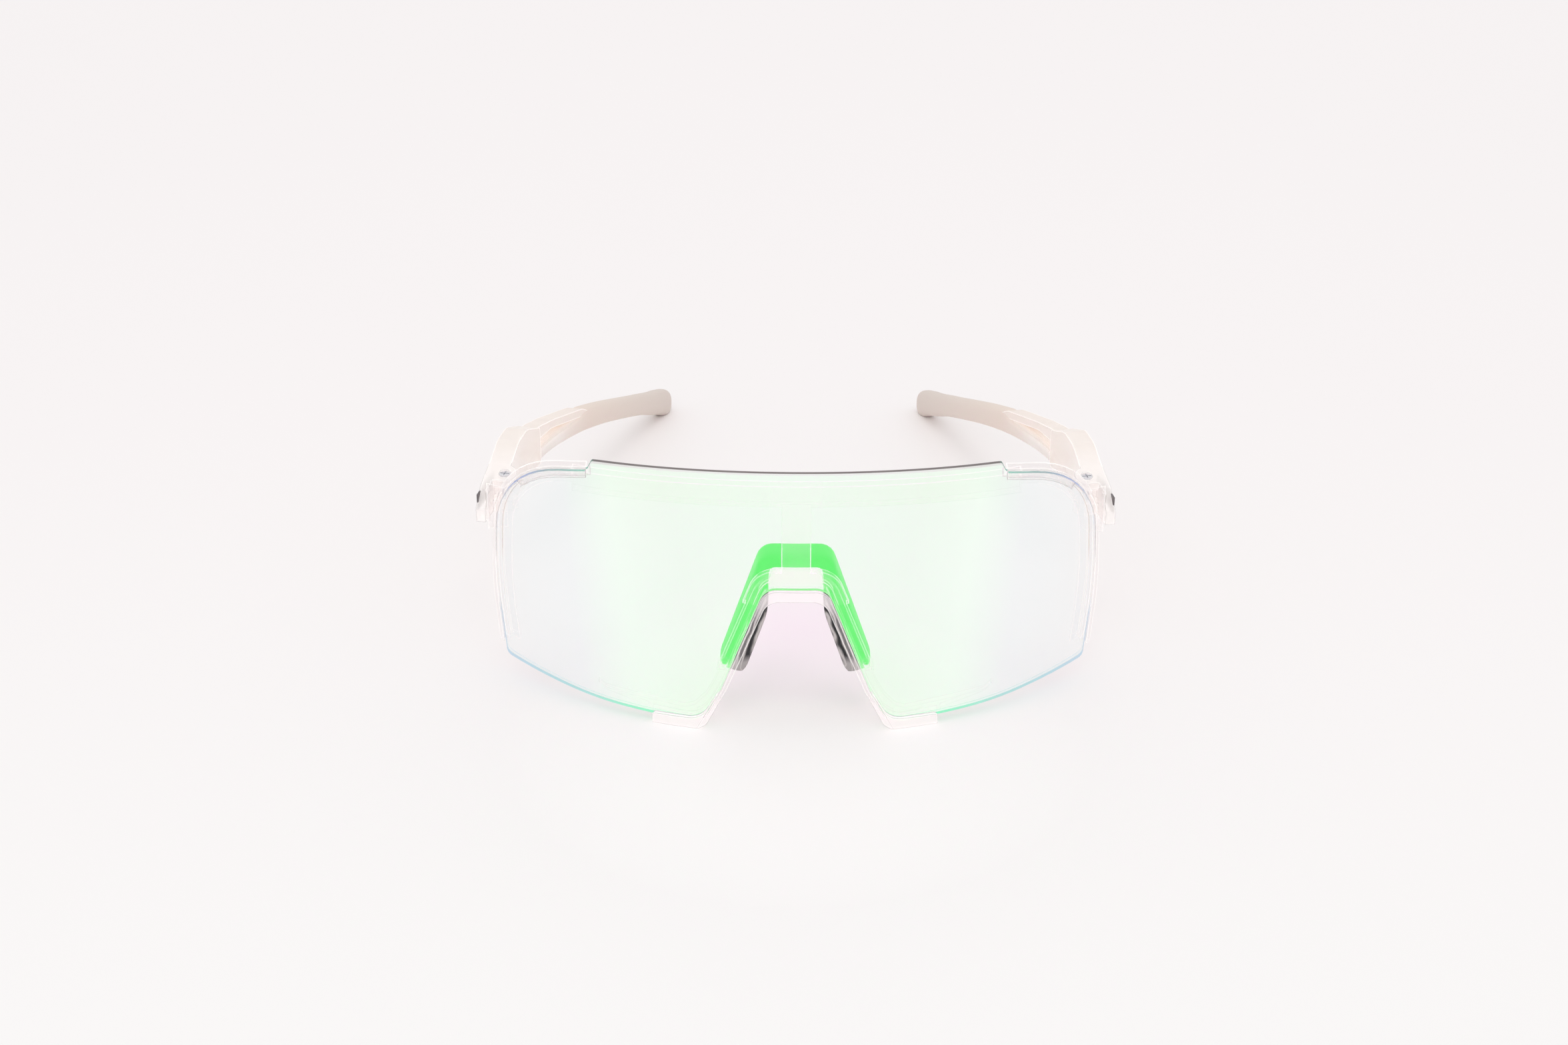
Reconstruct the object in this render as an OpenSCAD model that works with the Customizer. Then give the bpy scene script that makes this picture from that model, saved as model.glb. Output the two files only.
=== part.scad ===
// Shield sports sunglasses, standing open on a table.
// A one-piece mirror lens snaps into a clear moulded front. Two clear temples
// with soft sleeves fold on vertical hinge screws.
// Millimetres. X runs across the face, the lens faces -Y, the temples run to +Y.
// Z is up, and z = 0 is the table that the two front clips and the two tips touch.
// The origin is on the table, in the middle of the part's width and depth.

/* [Lens] */
// Radius of the lens's front face, seen from above
lens_r = 90; // [80:0.5:110]
// Lens thickness
lens_t = 1.8; // [1.5:0.1:2.2]
// Half of the lens's width, straight across
lens_half_w = 63.5; // [60:0.5:68]
// Height of the top edge at the middle
lens_top_z = 58.8; // [56:0.2:64]
// Height of the bottom edge beside the nose
lens_foot_z = 1.2; // [1:0.1:2]
// Rise of the bottom edge from the nose to the outer corner
lens_foot_rise = 4.2; // [2:0.1:7]
// Corner radius of the lens beside the nose
lens_nose_r = 5.2; // [3:0.1:6]
// Radius of the gently arched top edge
lens_arch_r = 420; // [300:10:800]
// Half width of the raised middle of the top edge
lens_step_w = 42; // [36:0.5:48]
// How far the raised middle stands above the corner's edge
lens_step_h = 2.1; // [1.4:0.1:2.6]
// Radius of the upper outer corner
lens_corner_r = 19; // [14:0.5:24]

/* [Nose notch] */
// Height of the notch's top edge
notch_top_z = 33.2; // [30:0.2:36]
// Half width of the notch at its top
notch_top_w = 6.4; // [5.5:0.1:8]
// Half width of the notch at the bottom edge
notch_foot_w = 19.6; // [18.6:0.1:21]
// Half width of the notch where its sides start to flare
notch_flare_w = 15.3; // [14.5:0.1:16]
// Height at which the sides start to flare
notch_flare_z = 9.6; // [8:0.2:12]
// Radius of the notch's upper corners
notch_r = 3.6; // [3:0.1:4.2]

/* [Front frame] */
// Play between the lens and the frame's groove
lens_gap = 0.12; // [0.08:0.01:0.25]
// Wall outside the lens's edge
rim_t = 1.0; // [0.8:0.1:1.6]
// Depth of the brow bar
brow_t = 2.6; // [2:0.1:3.4]
// Thickness of the lips in front of the lens
lip_t = 0.8; // [0.6:0.1:1.2]
// How far the upper lips reach over the lens
lip_w = 0.9; // [0.6:0.1:1.4]
// Where the upper lips end, across from the middle
lip_end_x = 58; // [54:0.5:60]
// Depth of the frame behind the lens
back_t = 1.8; // [1.4:0.1:2.4]
// How far the frame reaches over the lens's back
flange_w = 3.2; // [2.4:0.1:4]
// Height at which the side rims end
rim_end_z = 8.4; // [7:0.2:12]
// Height of the brow bar
brow_h = 4.6; // [4:0.2:6]
// Depth of the brow bar under the lens's top edge
brow_drop = 3.3; // [2.6:0.1:4]
// Width of the middle pillar
pillar_w = 6.0; // [5:0.2:8]
// Thickness of the middle pillar
pillar_t = 1.6; // [1.2:0.1:2.2]
// Thickness of the bridge over the nose
bridge_h = 2.4; // [2:0.1:3]
// Half width of the pillar's foot over the notch
foot_w = 5.2; // [4.2:0.1:6]
// Height of the pillar's foot above the notch
foot_h = 3.0; // [2:0.1:4]
// Depth of the notch wall behind the lens
notch_wall_d = 3.0; // [2.4:0.1:3.2]
// Outer end of the lower clips, across from the middle
clip_end_x = 29.8; // [27:0.2:34]
// Height of the lower clips
clip_h = 2.3; // [2:0.1:3]
// Radius of the clip's end beside the nose
clip_end_r = 2.0; // [1:0.1:3]
// Outer end of the thin rail behind the bottom edge
rail_end_x = 40; // [36:0.5:46]
// Height of that rail
rail_h = 2.0; // [1.6:0.1:3]

/* [Nose piece] */
// Thickness of the clear carrier
carrier_t = 1.5; // [1.2:0.1:2]
// Width of the carrier's band
carrier_w = 2.2; // [2:0.1:2.8]
// Width of the carrier's legs
carrier_leg_w = 1.6; // [1.5:0.1:1.9]
// Height at which the wide part of the carrier ends
carrier_ear_z = 28; // [25:0.5:30]
// Height of the lower ends of the carrier
carrier_end_z = 12; // [10:0.5:16]
// Radius of the carrier's two snap pegs
peg_r = 0.7; // [0.5:0.05:0.9]
// Play round the snap pegs
peg_gap = 0.05; // [0.02:0.01:0.1]
// Front-to-back depth of the rubber saddle
pad_d = 7.0; // [5:0.2:10]
// Thickness of the saddle's legs
pad_leg_t = 5.6; // [4.8:0.1:6.2]
// Thickness of the saddle's top
pad_top_t = 3.0; // [2.4:0.1:3.4]
// How far the saddle's back leans out from the nose
pad_flare = 0.4; // [0:0.1:1.5]
// Height of the saddle's lower ends
pad_end_z = 12.2; // [11:0.2:16]

/* [Hinges] */
// How far each hinge axis lies inside the lens's side edge
hinge_in = 0.3; // [0:0.1:0.8]
// Distance of the hinge axes behind the lens's foremost line
hinge_y = 46.5; // [45:0.5:50]
// Inward lean of the open temples, in degrees
temple_lean = 10; // [8:0.5:11]
// Bottom of the hinge
hinge_z = 29.5; // [28:0.1:31]
// Height of the hinge's lower ear
ear_h = 2.4; // [2:0.1:2.8]
// Height of the frame's barrel between the ears
barrel_h = 3.2; // [2.6:0.1:4]
// Play above and below the barrel
leaf_gap = 0.1; // [0.06:0.01:0.2]
// Radius of the frame's barrel
barrel_r = 2.3; // [2:0.1:2.5]
// Radius of the temple's ears
ear_r = 2.6; // [2.3:0.1:2.8]
// Radius of the hinge screw's shaft
screw_r = 0.7; // [0.6:0.05:0.85]
// Radius of the screw's head
screw_head_r = 1.25; // [1.1:0.05:1.5]
// Running play of the shaft in the barrel
pin_gap = 0.05; // [0.02:0.01:0.09]
// Outer radius of the threaded brass insert
insert_r = 1.3; // [1.15:0.05:1.5]
// Play round fixed metal pieces
seat_gap = 0.02; // [0.01:0.01:0.05]

/* [Temples] */
// Thickness of the temple's front block
block_t = 5.0; // [4.6:0.1:5.6]
// How far the block's inner face lies inside the hinge axis
block_in = 0.7; // [0.5:0.1:1]
// Thickness of the cheek that covers the hinge
cheek_t = 2.1; // [1.6:0.1:2.3]
// How far the cheek runs ahead of the hinge axis
cheek_len = 8.5; // [7:0.1:9.5]
// Rear end of the front block, behind the hinge axis
block_end = 27; // [25:0.5:30]
// Highest point of the front block
block_top_z = 40.7; // [40:0.1:42]
// Height of the clear upper branch of the fork
branch_h = 2.0; // [1.6:0.1:2.6]
// Thickness of the clear branch
branch_t = 3.8; // [3:0.1:4.2]
// Where the fork closes, behind the hinge axis
fork_end = 61; // [56:0.5:66]
// Width of the clear core inside the sleeve
core_w = 2.0; // [1.4:0.1:2.4]
// Height of the clear core inside the sleeve
core_h = 1.4; // [1:0.1:1.6]
// Rear end of the core
core_end = 104; // [96:1:108]
// Length of the temple behind the hinge axis
temple_len = 125; // [120:0.5:130]
// Inward slope of the temple's rear half
temple_slope = 0.11; // [0.07:0.01:0.14]
// Strength of the inward curl at the tip
tip_curl = 0.0014; // [0:0.0002:0.004]
// Half thickness of the soft sleeve
sleeve_half_w = 2.4; // [2:0.1:2.8]
// Length of the grey stripe
stripe_len = 13; // [8:0.5:16]
// Height of the grey stripe
stripe_h = 3.6; // [2:0.1:4.4]
// Thickness of the grey stripe
stripe_t = 0.3; // [0.2:0.05:0.5]
// Height of the middle of the stripe
stripe_z = 33.6; // [32.6:0.1:34.4]

/* [Hidden] */
$fn = 96;
arc_steps = 10;
side_steps = 34;
sleeve_steps = 44;
sleeve_points = 16;
pad_points = 12;
back_r = lens_r - lens_t - lens_gap;
rim_back = 0.6;
flange_step = 1.0;
front_r = lens_r + lens_gap;
carrier_r = back_r - pillar_t - lens_gap;
ear_top_z = hinge_z + ear_h;
barrel_z = ear_top_z + leaf_gap;
ear2_z = barrel_z + barrel_h + leaf_gap;
hinge_top_z = hinge_z + 2 * (ear_h + leaf_gap) + barrel_h + 0.1;
head_h = 0.8;
head_z = hinge_top_z - head_h - 0.35;
block_out = block_t - block_in;
mid_out = block_out - block_t / 2;
hinge_play = 0.3;
hinge_x = lens_half_w - hinge_in;
rim_y = lens_r - sqrt(pow(back_r - back_t, 2) - pow(hinge_x, 2));
lug_front = rim_y - hinge_y - 1.8;

// Plane curves: a corner is [x, z, radius], and a path of corners is rounded into points.

function unit(v) = v / norm(v);
function flat(v) = [v[0], v[1]];
function cross2(a, b) = a[0] * b[1] - a[1] * b[0];

// Points of the arc that rounds corner b between corners a and c
function corner_arc(a, b, c) =
    let (
        p = unit(flat(a) - flat(b)),
        q = unit(flat(c) - flat(b)),
        half = acos(max(-1, min(1, p * q))) / 2,
        reach = b[2] / tan(half),
        mid = flat(b) + unit(p + q) * b[2] / sin(half),
        from = flat(b) + p * reach - mid,
        a0 = atan2(from[1], from[0]),
        turn = (180 - 2 * half) * (cross2(p, q) > 0 ? -1 : 1)
    )
    [for (i = [0:arc_steps]) let (t = a0 + turn * i / arc_steps) mid + b[2] * [cos(t), sin(t)]];

// The whole path, with its first and last corner kept as they are
function round_path(c) = concat(
    [flat(c[0])],
    [for (i = [1:len(c) - 2]) each (c[i][2] > 0 ? corner_arc(c[i - 1], c[i], c[i + 1]) : [flat(c[i])])],
    [flat(c[len(c) - 1])]
);

// The same corners moved d outwards, for a path that has the lens on its left
function normal(a, b) = let (u = unit(flat(b) - flat(a))) [u[1], -u[0]];
function grow(c, d) = [for (i = [0:len(c) - 1])
    i == 0 ? [c[0][0], c[0][1] - d, 0] :
    i == len(c) - 1 ? [c[i][0], c[i][1] + d / normal(c[i - 1], c[i])[1], 0] :
    let (
        m = normal(c[i - 1], c[i]),
        n = normal(c[i], c[i + 1]),
        s = d / (1 + m * n),
        left = cross2(m, n) > 0 ? 1 : -1
    )
    [c[i][0] + (m[0] + n[0]) * s, c[i][1] + (m[1] + n[1]) * s, max(0.3, c[i][2] + left * d)]];

function mirrored(half) = concat(half, [for (i = [len(half) - 2:-1:1]) [-half[i][0], half[i][1]]]);

// Outlines in front view, right half, from the notch round to the top

function arch_z(x) = lens_top_z - x * x / (2 * lens_arch_r);
step_z = arch_z(lens_step_w) - lens_step_h;
shoulder = [lens_half_w - 1.4, lens_top_z - 9.2];
top_slope = (step_z - shoulder[1]) / (shoulder[0] - lens_step_w - 0.5);
side_corners = [
    [0, notch_top_z, 0],
    [notch_top_w, notch_top_z, notch_r],
    [notch_flare_w, notch_flare_z, 9],
    [notch_foot_w, lens_foot_z, lens_nose_r],
    [lens_half_w * 0.66, lens_foot_z + lens_foot_rise * 0.24, 120],
    [lens_half_w - 1.7, lens_foot_z + lens_foot_rise - 0.3, 1.3],
    [lens_half_w, lens_top_z * 0.37, 90],
    [shoulder[0], shoulder[1], lens_corner_r]
];
step_corners = [
    [lens_step_w + 0.5, step_z, 0.6],
    [lens_step_w - 0.5, arch_z(lens_step_w), 0.6]
];
arch_points = [for (i = [side_steps / 2 - 1:-1:0])
    let (x = (lens_step_w - 2) * i / (side_steps / 2 - 1)) [x, arch_z(x), 0]];
lens_half = round_path(concat(side_corners, step_corners, arch_points));
rim_corners = concat(side_corners, [[0, step_z + (lens_step_w + 0.5) * top_slope, 0]]);
notch_corners = [
    [notch_top_w - 0.6, notch_top_z - bridge_h, notch_r],
    [notch_flare_w - rim_t, notch_flare_z, 7],
    [notch_foot_w - rim_t - 0.2, 1.2, clip_end_r],
    [notch_foot_w + 2.4, -1.4, 0]
];

module lens_shape() {
    polygon(mirrored(lens_half));
}

module rim_shape(d) {
    polygon(mirrored(round_path(grow(rim_corners, d))));
}

module rim_band(inner, outer) {
    difference() {
        rim_shape(outer);
        rim_shape(inner);
    }
}

module box2(x0, x1, z0, z1) {
    translate([x0, z0]) square([x1 - x0, z1 - z0]);
}

module both() {
    children();
    mirror([1, 0, 0]) children();
}

// A front-view shape pushed through the ring between two radii of the lens's curve
module on_shell(r_front, r_back) {
    intersection() {
        translate([0, axis_y, -10]) difference() {
            cylinder(r = r_front, h = 90);
            translate([0, 0, -1]) cylinder(r = r_back, h = 92);
        }
        translate([0, front_y + 44, 0]) rotate([90, 0, 0]) linear_extrude(60) children();
    }
}

module lens() {
    color([0.75, 0.98, 0.82, 0.45])
    on_shell(lens_r, lens_r - lens_t) lens_shape();
}

// Front frame

module rim_zone() {
    box2(lens_step_w + 0.6, lens_half_w + 6, rim_end_z, lens_top_z + 4);
}

module lip_zone() {
    polygon([
        [lens_step_w + 0.6, lens_top_z - 14],
        [lip_end_x - 3, lens_top_z - 14],
        [lip_end_x + 4, lens_top_z - 6],
        [lip_end_x + 4, lens_top_z + 4],
        [lens_step_w + 0.6, lens_top_z + 4]
    ]);
}

module rims() {
    both() on_shell(front_r + lip_t, back_r - rim_back) intersection() {
        rim_band(lens_gap, rim_t);
        rim_zone();
    }
    both() on_shell(front_r + lip_t, front_r) intersection() {
        rim_band(-lip_w, lens_gap + 0.2);
        lip_zone();
    }
    both() on_shell(back_r, back_r - rim_back) intersection() {
        rim_band(-flange_w, lens_gap + 0.2);
        rim_zone();
    }
    both() on_shell(back_r - rim_back / 2, back_r - back_t) intersection() {
        rim_band(-flange_w, -flange_step);
        rim_zone();
    }
}

// Band of the brow bar that follows the arched top edge
function brow_line(drop, sgn) = [for (i = [0:side_steps])
    let (x = sgn * (lens_step_w + 4) * (2 * i / side_steps - 1)) [x, arch_z(x) - drop]];

module brow_bar() {
    on_shell(back_r, back_r - brow_t)
        polygon(concat(brow_line(brow_drop, 1), brow_line(brow_drop + brow_h, -1)));
}

module pillar() {
    on_shell(back_r, back_r - pillar_t)
        union() {
            box2(-pillar_w / 2, pillar_w / 2, notch_top_z - 0.5, lens_top_z - brow_drop - brow_h / 2);
            polygon(mirrored(round_path([
                [0, notch_top_z - 0.5, 0],
                [foot_w + 0.4, notch_top_z - 0.5, 0],
                [foot_w, notch_top_z + foot_h, 1.6],
                [0, notch_top_z + foot_h, 0]
            ])));
        }
}

// The opening that the nose sees, inside the frame's notch wall
module notch_opening() {
    polygon(mirrored(round_path(concat(
        [[0, notch_top_z - bridge_h, 0]], notch_corners, [[0, -1, 0]]))));
}

module notch_wall() {
    on_shell(front_r + bridge_out, back_r - notch_wall_d) difference() {
        box2(-notch_foot_w - 1, notch_foot_w + 1, 0, notch_top_z - lens_gap);
        rim_shape(lens_gap);
        notch_opening();
    }
    on_shell(back_r, back_r - pillar_t) difference() {
        union() {
            intersection() {
                rim_band(-1.6, lens_gap + 0.3);
                box2(-notch_foot_w - 2, notch_foot_w + 2, rail_h, notch_top_z + 3);
            }
            both() translate([peg_x, peg_z]) circle(r = peg_r + 0.8);
        }
        both() translate([peg_x, peg_z]) circle(r = peg_r + peg_gap, $fn = 32);
    }
}

function foot_line_z(x) = lens_foot_z + lens_foot_rise * 0.24
    * (x - notch_foot_w) / (lens_half_w * 0.66 - notch_foot_w);

module lower_clips() {
    both() on_shell(front_r + lip_t, front_r) polygon(round_path([
        [notch_foot_w + 0.9, 0, 0.6],
        [clip_end_x, 0, 0],
        [clip_end_x, clip_h, 0.9],
        [notch_foot_w, clip_h + 0.1, lens_nose_r - 0.7],
        [notch_flare_w + 0.4, notch_flare_z - 0.3, 0]
    ]));
    both() on_shell(front_r + lip_t, back_r - back_t) difference() {
        box2(notch_foot_w + 0.9, clip_end_x, 0, lens_foot_z + 0.6);
        rim_shape(lens_gap);
    }
    both() on_shell(back_r, back_r - pillar_t) polygon([
        [notch_foot_w + 0.9, 0.1],
        [clip_end_x, 0.1],
        [clip_end_x + 0.8, foot_line_z(clip_end_x) + 0.3],
        [rail_end_x, foot_line_z(rail_end_x) + 1.6],
        [rail_end_x + 1.5, foot_line_z(rail_end_x) + 3],
        [rail_end_x, foot_line_z(rail_end_x) + rail_h],
        [clip_end_x - 2, foot_line_z(clip_end_x) + rail_h],
        [notch_foot_w + 3.4, foot_line_z(notch_foot_w) + rail_h],
        [notch_foot_w + 1.4, foot_line_z(notch_foot_w) + rail_h + 0.8],
        [notch_foot_w - 1.4, foot_line_z(notch_foot_w) + rail_h + 4],
        [notch_foot_w - 2.2, foot_line_z(notch_foot_w) + rail_h + 4]
    ]);
}

// Everything of a hinge is drawn in its own frame: x outwards, y back, z up
module hinge_frame() {
    translate([hinge_x, front_y + hinge_y, 0]) rotate([0, 0, temple_lean]) children();
}

module lug_body() {
    // Plan of the arm from the rim to the hinge, and its side view
    intersection() {
        translate([0, 0, hinge_z - 10]) linear_extrude(40) polygon([
            [-2.2, -ear_r - hinge_play],
            [cheek_in - hinge_play, -ear_r - hinge_play],
            [cheek_in - hinge_play, -cheek_len - 0.6],
            [0, lug_front + 5],
            [-0.9, lug_front],
            [-4.6, lug_front + 2.4],
            [-3.1, -6]
        ]);
        rotate([90, 0, 90]) translate([0, 0, -12]) linear_extrude(24) polygon([
            [lug_front - 3, hinge_z + 3.4],
            [lug_front + 4, hinge_z + 2.2],
            [-cheek_len + 2, hinge_z],
            [-ear_r, hinge_z],
            [0, hinge_z],
            [0, hinge_top_z - 0.6],
            [-ear_r - 2, hinge_top_z - 0.6],
            [-9, hinge_top_z - 0.4],
            [lug_front + 4.5, hinge_top_z + 1.4],
            [lug_front - 3, hinge_top_z + 8]
        ]);
    }
}

cheek_in = block_out - cheek_t;

module lug() {
    lug_body();
    translate([0, 0, barrel_z]) difference() {
        union() {
            cylinder(r = barrel_r, h = barrel_h);
            translate([-barrel_r, -ear_r - 1.5, 0])
                cube([barrel_r + cheek_in - hinge_play, ear_r + 1.5, barrel_h]);
        }
        translate([0, 0, -1]) cylinder(r = screw_r + pin_gap, h = barrel_h + 2);
        translate([barrel_r - 0.5, 0, -1]) cube([2, 2, barrel_h + 2]);
    }
}

module frame() {
    color([0.95, 0.96, 0.95, 0.4]) {
        rims();
        brow_bar();
        pillar();
        notch_wall();
        lower_clips();
        both() hinge_frame() lug();
    }
}

// Nose piece

peg_z = carrier_end_z + 2.2;
peg_x = notch_side_x(peg_z) + 1.07 * (0.2 + carrier_leg_w / 2);

// Distance of the notch's straight side from the middle, at a height
function notch_side_x(z) = notch_top_w + (notch_flare_w - notch_top_w)
    * (notch_top_z - z) / (notch_top_z - notch_flare_z);

// Outline that follows the notch's top and straight sides at distance d, down to height z
function notch_path(d, z) = mirrored(round_path([
    [0, notch_top_z + d, 0],
    [notch_top_w + 0.69 * d, notch_top_z + d, notch_r + d],
    [notch_side_x(z) + 1.07 * d, z, 0],
    [0, z, 0]
]));

module nose_band(w, z) {
    difference() {
        polygon(notch_path(w + 0.2, z));
        polygon(notch_path(0.2, z - 1));
    }
}

module nose_carrier() {
    color([0.93, 0.97, 0.94, 0.45]) {
        on_shell(carrier_r, carrier_r - carrier_t) {
            nose_band(carrier_w, carrier_ear_z);
            nose_band(carrier_leg_w, carrier_end_z);
        }
        both() on_shell(back_r - 0.1, carrier_r - 0.1)
            translate([peg_x, peg_z]) circle(r = peg_r, $fn = 32);
    }
}

// Outer line of the rubber saddle, right half, from the top down
pad_rise = 5.1;
pad_run = [
    [0, notch_top_z + pad_rise, 0],
    [notch_top_w + 0.9, notch_top_z + pad_rise, 3.4],
    [notch_side_x(pad_end_z) + 1.7, pad_end_z, 0]
];

function even_points(p, n) = [for (i = [0:n]) along(p, i / n)];
function run_len(p, i = 0) = i >= len(p) - 1 ? 0 : norm(p[i + 1] - p[i]) + run_len(p, i + 1);
function along(p, t) = walk(p, t * run_len(p), 0);
function walk(p, d, i) =
    let (s = norm(p[i + 1] - p[i]))
    (d <= s || i == len(p) - 2) ? p[i] + (p[i + 1] - p[i]) * min(1, d / s) : walk(p, d - s, i + 1);

pad_half = even_points(round_path(pad_run), 18);
pad_line = concat(
    [for (i = [len(pad_half) - 1:-1:1]) [-pad_half[i][0], pad_half[i][1]]],
    pad_half
);

// Rounded section with half sizes a and b
function round_section(a, b, n, power) = [for (i = [0:n - 1])
    let (t = 360 * (i + 0.5) / n, c = cos(t), s = sin(t))
    [a * sign(c) * pow(abs(c), power), b * sign(s) * pow(abs(s), power)]];

// A closed skin through rings of points, each ring with the same count
module skin(rings) {
    n = len(rings[0]);
    m = len(rings);
    points = [for (ring = rings) each ring];
    sides = [for (j = [0:m - 2]) for (i = [0:n - 1]) each [
        [j * n + i, j * n + (i + 1) % n, (j + 1) * n + (i + 1) % n],
        [j * n + i, (j + 1) * n + (i + 1) % n, (j + 1) * n + i]
    ]];
    caps = [[for (i = [n - 1:-1:0]) i], [for (i = [0:n - 1]) (m - 1) * n + i]];
    polyhedron(points = points, faces = concat(sides, caps));
}

function pad_ring(i) =
    let (
        last = len(pad_line) - 1,
        p = pad_line[i],
        u = unit(pad_line[min(last, i + 1)] - pad_line[max(0, i - 1)]),
        n = [-u[1], u[0]],
        side = abs(2 * i / last - 1),
        k = max(0, min(1, (side - 0.25) / 0.35)),
        half = (pad_top_t + (pad_leg_t - pad_top_t) * k * k * (3 - 2 * k)) / 2,
        end = min(1, 0.8 + 0.1 * min(i, last - i)),
        y0 = axis_y - sqrt(pow(carrier_r - carrier_t + 0.5, 2) - pow(p[0] - n[0] * half, 2)) + pad_d / 2
    )
    [for (q = round_section(end * half, end * pad_d / 2, pad_points, 0.7))
        let (out = q[0] - half + k * pad_flare * q[1] / pad_d)
        [p[0] + n[0] * out, y0 + q[1], p[1] + n[1] * out]];

module nose_pad() {
    color([0.2, 0.2, 0.22])
    difference() {
        skin([for (i = [0:len(pad_line) - 1]) pad_ring(i)]);
        on_shell(lens_r + 6, carrier_r - carrier_t) box2(-30, 30, 0, 60);
    }
}

// Temples, drawn in the hinge's frame

// Inward sweep of the temple, at a distance behind the hinge axis
sweep_start = 22;
sweep_full = 66;
curl_start = 98;
function sweep(y) =
    (y < sweep_start ? 0 :
     y < sweep_full ? temple_slope * pow(y - sweep_start, 2) / (2 * (sweep_full - sweep_start)) :
     temple_slope * ((sweep_full - sweep_start) / 2 + y - sweep_full))
    + (y > curl_start ? tip_curl * pow(y - curl_start, 2) : 0);
function mid_x(y) = mid_out - sweep(y);

// Where the lens's foremost line lies, so that the whole part is centred on the origin
bridge_out = 0.7;
rear_y = hinge_y + temple_len * cos(temple_lean) + mid_x(temple_len) * sin(temple_lean);
front_y = (lens_gap + bridge_out - rear_y) / 2;
axis_y = front_y + lens_r;

// Heights along the temple: a smooth curve through [distance, height] stations
top_stations = [
    [block_end - 2, 36.7], [34, 34.6], [48, 30.6], [62, 26.5], [76, 22.1], [90, 17.3],
    [104, 12.5], [temple_len - 8, 8.4], [temple_len, 6.4]
];
foot_stations = [
    [block_end - 2, 28.1], [34, 26.8], [48, 23.8], [62, 20.3], [76, 16.3], [90, 11.7],
    [104, 6.8], [temple_len - 8, 1.6], [temple_len, -1.9]
];
fork_stations = [
    [block_end - 2, 30.8], [34, 29.9], [48, 27.5], [fork_end - 1, 25.7], [fork_end + 9, 23.8]
];

function blend(a, b, c, d, t) = 0.5 * (2 * b + (c - a) * t
    + (2 * a - 5 * b + 4 * c - d) * t * t + (3 * b - a - 3 * c + d) * t * t * t);
function station(s, i) = s[max(0, min(len(s) - 1, i))];
function find(s, y, i = 0) = (i >= len(s) - 2 || y < s[i + 1][0]) ? i : find(s, y, i + 1);
function height(s, y) =
    let (i = find(s, y), t = max(0, min(1, (y - s[i][0]) / (s[i + 1][0] - s[i][0]))))
    blend(station(s, i - 1)[1], s[i][1], s[i + 1][1], station(s, i + 2)[1], t);

function top_z(y) = height(top_stations, y);
function foot_z(y) = height(foot_stations, y);
function fork_z(y) = height(fork_stations, y);
function core_z(y) = foot_z(y) + (y < 34 ? 0.8 : min(0.8 + (y - 34) * 0.05, 2));

function span(y0, y1, n) = [for (i = [0:n]) y0 + (y1 - y0) * i / n];

// A bar that follows the temple's sweep in plan and two height curves in side view
module swept_bar(y0, y1, n, width, low, high) {
    ys = span(y0, y1, n);
    intersection() {
        linear_extrude(60) polygon(concat(
            [for (y = ys) [mid_x(y) + width / 2, y]],
            [for (i = [n:-1:0]) [mid_x(ys[i]) - width / 2, ys[i]]]
        ));
        rotate([90, 0, 90]) translate([0, 0, -25]) linear_extrude(50) polygon(concat(
            [for (i = [0:n]) [ys[i], low[i]]],
            [for (i = [n:-1:0]) [ys[i], high[i]]]
        ));
    }
}

branch_end = fork_end + 7;

module branch() {
    ys = span(block_end - 1, branch_end, 22);
    swept_bar(block_end - 1, branch_end, 22, branch_t,
        [for (y = ys) top_z(y) - branch_h - max(0, 1.2 - (y - block_end) * 0.12)
            - 0.9 * max(0, (y - fork_end) / 7)],
        [for (y = ys) top_z(y) - 1.9 * max(0, (y - fork_end) / 7)]);
}

module core() {
    ys = span(block_end - 1, core_end, 30);
    swept_bar(block_end - 1, core_end, 30, core_w,
        [for (y = ys) core_z(y)],
        [for (y = ys) core_z(y) + core_h]);
}

block_profile = round_path([
    [-cheek_len, hinge_z, 0],
    [-cheek_len, hinge_z + 3.2, 0.6],
    [-4.6, hinge_top_z - 1.6, 4],
    [3.4, hinge_top_z + 0.6, 12],
    [9.5, block_top_z, 7],
    [16.5, block_top_z, 9],
    [block_end, 36.6, 1.2],
    [block_end, 27.9, 1.2],
    [10, hinge_z - 0.8, 40],
    [-cheek_len + 2, hinge_z, 0]
]);

module block_side() {
    rotate([90, 0, 90]) translate([0, 0, -12]) linear_extrude(24) polygon(block_profile);
}

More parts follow.
